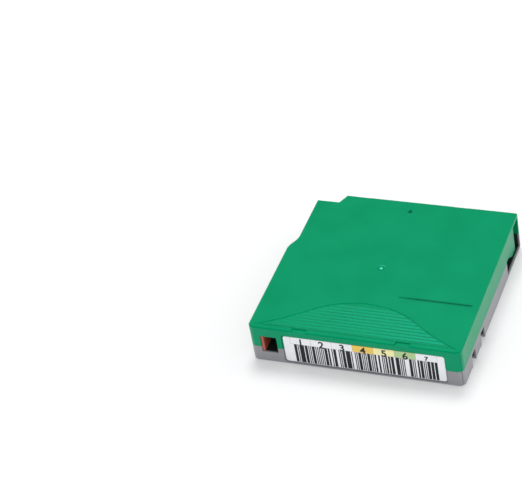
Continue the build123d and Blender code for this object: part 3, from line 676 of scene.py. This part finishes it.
def board_lacquer():
    """Green lacquer over a flat copper coil, whose rectangular turns show brighter near the edge."""
    graph = Graph("board_lacquer")
    low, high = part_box("memory_board")
    x, _, z = graph.place()
    across = abs(x - (low[0] + high[0]) / 2) * (2.0 / (high[0] - low[0]))
    along = abs(z - (low[2] + high[2]) / 2) * (2.0 / (high[2] - low[2]))
    edge = across.at_least(along)
    track = (edge * 40.0).sine().ramp(-0.1, 0.3) * edge.ramp(0.5, 0.55)
    return graph.surface(
        base_color=graph.blend(track, (0.012, 0.09, 0.03, 1.0), (0.05, 0.2, 0.06, 1.0)),
        roughness=track.ramp(0.0, 1.0, 0.3, 0.22),
        normal=graph.bump(track, 0.3, 0.03 * MM),
    )


class CARTRIDGE_OT_label(bpy.types.Operator):
    """Prints the label: coloured cells, bars and plain digits"""

    bl_idname = "cartridge.label"
    bl_label = "Label"

    def execute(self, context):
        label = context.scene.cartridge_label
        dress("rear_label", label_print(label))
        ink = digit_ink(label)
        for index in range(label.cell_count):
            label_digit(label, index, ink)
        return {"FINISHED"}


def label_cells(label):
    """Left end of the cells, and the lower edge of their row."""
    low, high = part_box("rear_label")
    width = label.cell_count * label.cell_width
    return (low[0] + high[0]) / 2 - width / 2, high[2] - label.cell_height


def label_print(label):
    """White film with a row of cells over bars. Only chance sets the widths of the bars.

    Bars and gaps take turns, all of one width. A dice on the number of each turns a few of the gaps
    dark and a few of the bars light, which makes the wide bars and the wide gaps.
    """
    graph = Graph("label_print")
    low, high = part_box("rear_label")
    x, _, z = graph.place()
    first, base = label_cells(label)
    last = first + label.cell_count * label.cell_width
    soft = 0.03 * MM
    line, line_strength = 0.09 * MM, 0.4
    row = z.inside(base, high[2] + MM, soft)
    color = graph.blend(graph.noise(400.0, 2.0), rgba(label.paper, 0.98), rgba(label.paper, 1.01))
    for index, tint in ((3, label.amber), (4, label.yellow), (5, label.lime)):
        start = first + index * label.cell_width
        cell = x.inside(start, start + label.cell_width, soft) * row
        color = graph.blend(cell, color, rgba(tint))
    step = (x - first) / label.cell_width
    side = abs(step - step.floor() - 0.5).above(0.5 - line / label.cell_width) * row
    foot = z.inside(base - line, base + line, soft)
    rim = side.at_least(foot) * x.inside(first - line, last + line, soft)
    color = graph.blend(rim * line_strength, color, rgba(label.ink))

    bar_share, light_bars, light_gaps, seed = 0.58, 0.12, 0.73, 31.5
    white_below, white_above = 0.15 * MM, 0.1 * MM
    pair = (x - (low[0] + label.bar_start)) / (2.0 * label.bar_width)
    gap = (pair - pair.floor()).above(bar_share)
    number = pair.floor() * 2.0 + gap
    dice = graph.node("ShaderNodeTexWhiteNoise", {"noise_dimensions": "1D"}, {"W": number + seed})
    bars = (1.0 - gap) * dice.above(light_bars) + gap * dice.above(light_gaps)
    bars = bars * x.inside(low[0] + label.bar_start, high[0] - label.bar_end, soft)
    bars = bars * z.inside(low[2] + white_below, base - white_above, soft)
    color = graph.blend(bars, color, rgba(label.ink))
    return graph.surface(
        base_color=color,
        roughness=graph.noise(900.0, 2.0).ramp(0.3, 0.7, 0.38, 0.48),
        specular_ior_level=0.2,
        normal=graph.bump(graph.noise(1500.0, 2.0), 0.05, 0.03 * MM),
    )


def label_digit(label, index, ink):
    """A plain digit as a thin plate on the label, one to each cell. The last one is small."""
    first, base = label_cells(label)
    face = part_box("rear_label")[0][1]
    proud = 0.012 * MM
    small = index == label.cell_count - 1
    size, foot = (0.6, 0.5 * MM) if small else (1.0, -label.digit_drop)
    curve = bpy.data.curves.new(f"digit_{index + 1}_outline", "FONT")
    curve.body = str(index + 1)
    curve.size = label.digit_height * size
    curve.align_x = "CENTER"
    curve.offset = label.digit_weight
    curve.extrude = 0.01 * MM
    outline = bpy.data.objects.new(f"digit_{index + 1}_outline", curve)
    bpy.context.collection.objects.link(outline)
    bpy.context.view_layer.update()
    mesh = bpy.data.meshes.new_from_object(outline.evaluated_get(bpy.context.evaluated_depsgraph_get()))
    bpy.data.objects.remove(outline)
    stand = Matrix.Rotation(np.pi / 2, 4, "X")
    place = (first + (index + 0.5) * label.cell_width, face - proud, base + foot)
    mesh.transform(Matrix.Translation(place) @ stand)
    mesh.materials.clear()
    mesh.materials.append(ink)
    digit = bpy.data.objects.new(f"label_digit_{index + 1}", mesh)
    bpy.context.collection.objects.link(digit)
    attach(digit, "case")


def digit_ink(label):
    """Dark ink with a little unevenness."""
    graph = Graph("digit_ink")
    patch = graph.noise(2500.0, 2.0)
    return graph.surface(
        base_color=graph.blend(patch, rgba(label.ink), rgba(label.ink, 1.6)),
        roughness=patch.ramp(0.3, 0.7, 0.4, 0.5),
        specular_ior_level=0.2,
    )


class CARTRIDGE_OT_studio(bpy.types.Operator):
    """Sets up the pale floor, the soft lights and the camera"""

    bl_idname = "cartridge.studio"
    bl_label = "Studio"

    def execute(self, context):
        studio = context.scene.cartridge_studio
        make_floor()
        make_sky(studio)
        soft_lamp("key_lamp", place=(-0.1, 0.45, 1.2), size=0.5, power=studio.key)
        soft_lamp("fill_lamp", place=(0.2, -1.2, 0.6), size=1.6, power=studio.fill)
        soft_lamp("side_lamp", place=(1.1, 0.3, 0.4), size=0.6, power=studio.side)
        make_camera(studio)
        context.scene.view_settings.view_transform = "Standard"
        return {"FINISHED"}


def make_floor():
    """A flat pale floor, lifted to white for the camera far from the part, so that its shadow stays.

    It lies a hair under the part. From below it is clear, and so it is to rays that leave the part's
    underside or its spindle opening, so that these show from below too.
    """
    half, drop = 6.0, 0.1 * MM
    shadow_ends, all_white, least_glow = 0.12, 0.6, 0.2
    covered, near = 38.0 * MM, 10.0 * drop
    mesh = bpy.data.meshes.new("floor")
    corners = [(-half, -half, -drop), (half, -half, -drop), (half, half, -drop), (-half, half, -drop)]
    mesh.from_pydata(corners, [], [(0, 1, 2, 3)])
    floor = bpy.data.objects.new("floor", mesh)
    bpy.context.collection.objects.link(floor)
    graph = Graph("pale_floor")
    path = "ShaderNodeLightPath"
    seen = graph.node(path, None, None, "Is Camera Ray") + graph.node(path, None, None, "Is Glossy Ray")
    seen = (seen + graph.node(path, None, None, "Is Transmission Ray")).at_most(1.0)
    matt = graph.node("ShaderNodeBsdfDiffuse", None, {"Color": (0.90, 0.90, 0.91, 1.0)})
    glow = graph.node("ShaderNodeEmission", None, {"Color": WHITE, "Strength": 1.0})
    x, y, _ = graph.place()
    distance = (x * x + y * y).root()
    share = distance.ramp(shadow_ends, all_white, least_glow, 1.0)
    mixed = graph.node("ShaderNodeMixShader", None, {0: seen * share, 1: matt, 2: glow})
    length = graph.node(path, None, None, "Ray Length")
    close = 1.0 - length.above(near) * distance.above(covered)
    under = graph.node("ShaderNodeNewGeometry", None, None, "Backfacing").at_least(close)
    clear = graph.node("ShaderNodeBsdfTransparent")
    shader = graph.node("ShaderNodeMixShader", None, {0: under, 1: mixed, 2: clear})
    mesh.materials.append(graph.finish(shader))


def make_sky(studio):
    """An even white world: white to the camera, dimmer as a light, and in a gloss dark overhead."""
    graph = Graph("studio_sky", world=True)
    _, _, height = graph.split(graph.node("ShaderNodeTexCoord", None, None, "Generated"))
    mirrored = height.ramp(0.05, 0.45, studio.horizon_gloss, studio.sky_gloss)
    shader = graph.node("ShaderNodeBackground", None, {"Color": WHITE, "Strength": studio.sky})
    for ray, strength in (("Is Glossy Ray", mirrored), ("Is Camera Ray", 1.0)):
        seen = graph.node("ShaderNodeLightPath", None, None, ray)
        other = graph.node("ShaderNodeBackground", None, {"Color": WHITE, "Strength": strength})
        shader = graph.node("ShaderNodeMixShader", None, {0: seen, 1: shader, 2: other})
    bpy.context.scene.world = graph.finish(shader)


def soft_lamp(name, place, size, power):
    """A square lamp that points at the origin."""
    data = bpy.data.lights.new(name, "AREA")
    data.size = size
    data.energy = power
    lamp = bpy.data.objects.new(name, data)
    bpy.context.collection.objects.link(lamp)
    lamp.location = place
    lamp.rotation_euler = (-Vector(place)).to_track_quat("-Z", "Y").to_euler()


def make_camera(studio):
    """The photograph's camera: it looks at the target from azimuth and elevation, then rolls."""
    flat = np.cos(studio.elevation)
    back = Vector(
        (np.sin(studio.azimuth) * flat, -np.cos(studio.azimuth) * flat, np.sin(studio.elevation))
    )
    data = bpy.data.cameras.new("view")
    data.lens = studio.lens
    data.sensor_width = 36.0
    data.clip_end = 50.0
    camera = bpy.data.objects.new("view", data)
    bpy.context.collection.objects.link(camera)
    side = Vector((0.0, 0.0, 1.0)).cross(back).normalized()
    upward = back.cross(side)
    turn = Matrix((side, upward, back)).transposed() @ Matrix.Rotation(studio.roll, 3, "Z")
    camera.matrix_world = Matrix.Translation(Vector(studio.target) + back * studio.distance) @ turn.to_4x4()
    bpy.context.scene.camera = camera


class CARTRIDGE_PT_sidebar(bpy.types.Panel):
    """Lists the steps in the sidebar"""

    bl_label = "Data tape cartridge"
    bl_idname = "CARTRIDGE_PT_sidebar"
    bl_space_type = "VIEW_3D"
    bl_region_type = "UI"
    bl_category = "Cartridge"

    def draw(self, context):
        for step in OPERATORS:
            self.layout.operator(step.bl_idname)


OPERATORS = (
    CARTRIDGE_OT_case,
    CARTRIDGE_OT_reel,
    CARTRIDGE_OT_leader,
    CARTRIDGE_OT_springs,
    CARTRIDGE_OT_memory,
    CARTRIDGE_OT_label,
    CARTRIDGE_OT_studio,
)
SETTINGS = {
    "cartridge_shell": ShellSettings,
    "cartridge_label": LabelSettings,
    "cartridge_springs": SpringSettings,
    "cartridge_studio": StudioSettings,
}


def register():
    """Registers every class and hangs the settings on the scene."""
    for group in SETTINGS.values():
        bpy.utils.register_class(group)
    for step in OPERATORS:
        bpy.utils.register_class(step)
    bpy.utils.register_class(CARTRIDGE_PT_sidebar)
    for name, group in SETTINGS.items():
        setattr(bpy.types.Scene, name, PointerProperty(type=group))


def unregister():
    """Undoes register."""
    for name in SETTINGS:
        delattr(bpy.types.Scene, name)
    bpy.utils.unregister_class(CARTRIDGE_PT_sidebar)
    for step in reversed(OPERATORS):
        bpy.utils.unregister_class(step)
    for group in reversed(SETTINGS.values()):
        bpy.utils.unregister_class(group)


def main():
    """Registers the add-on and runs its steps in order."""
    register()
    for step in OPERATORS:
        group, name = step.bl_idname.split(".")
        result = getattr(getattr(bpy.ops, group), name)()
        if result != {"FINISHED"}:
            raise RuntimeError(f"{step.bl_label} did not finish")


if __name__ == "__main__":
    main()
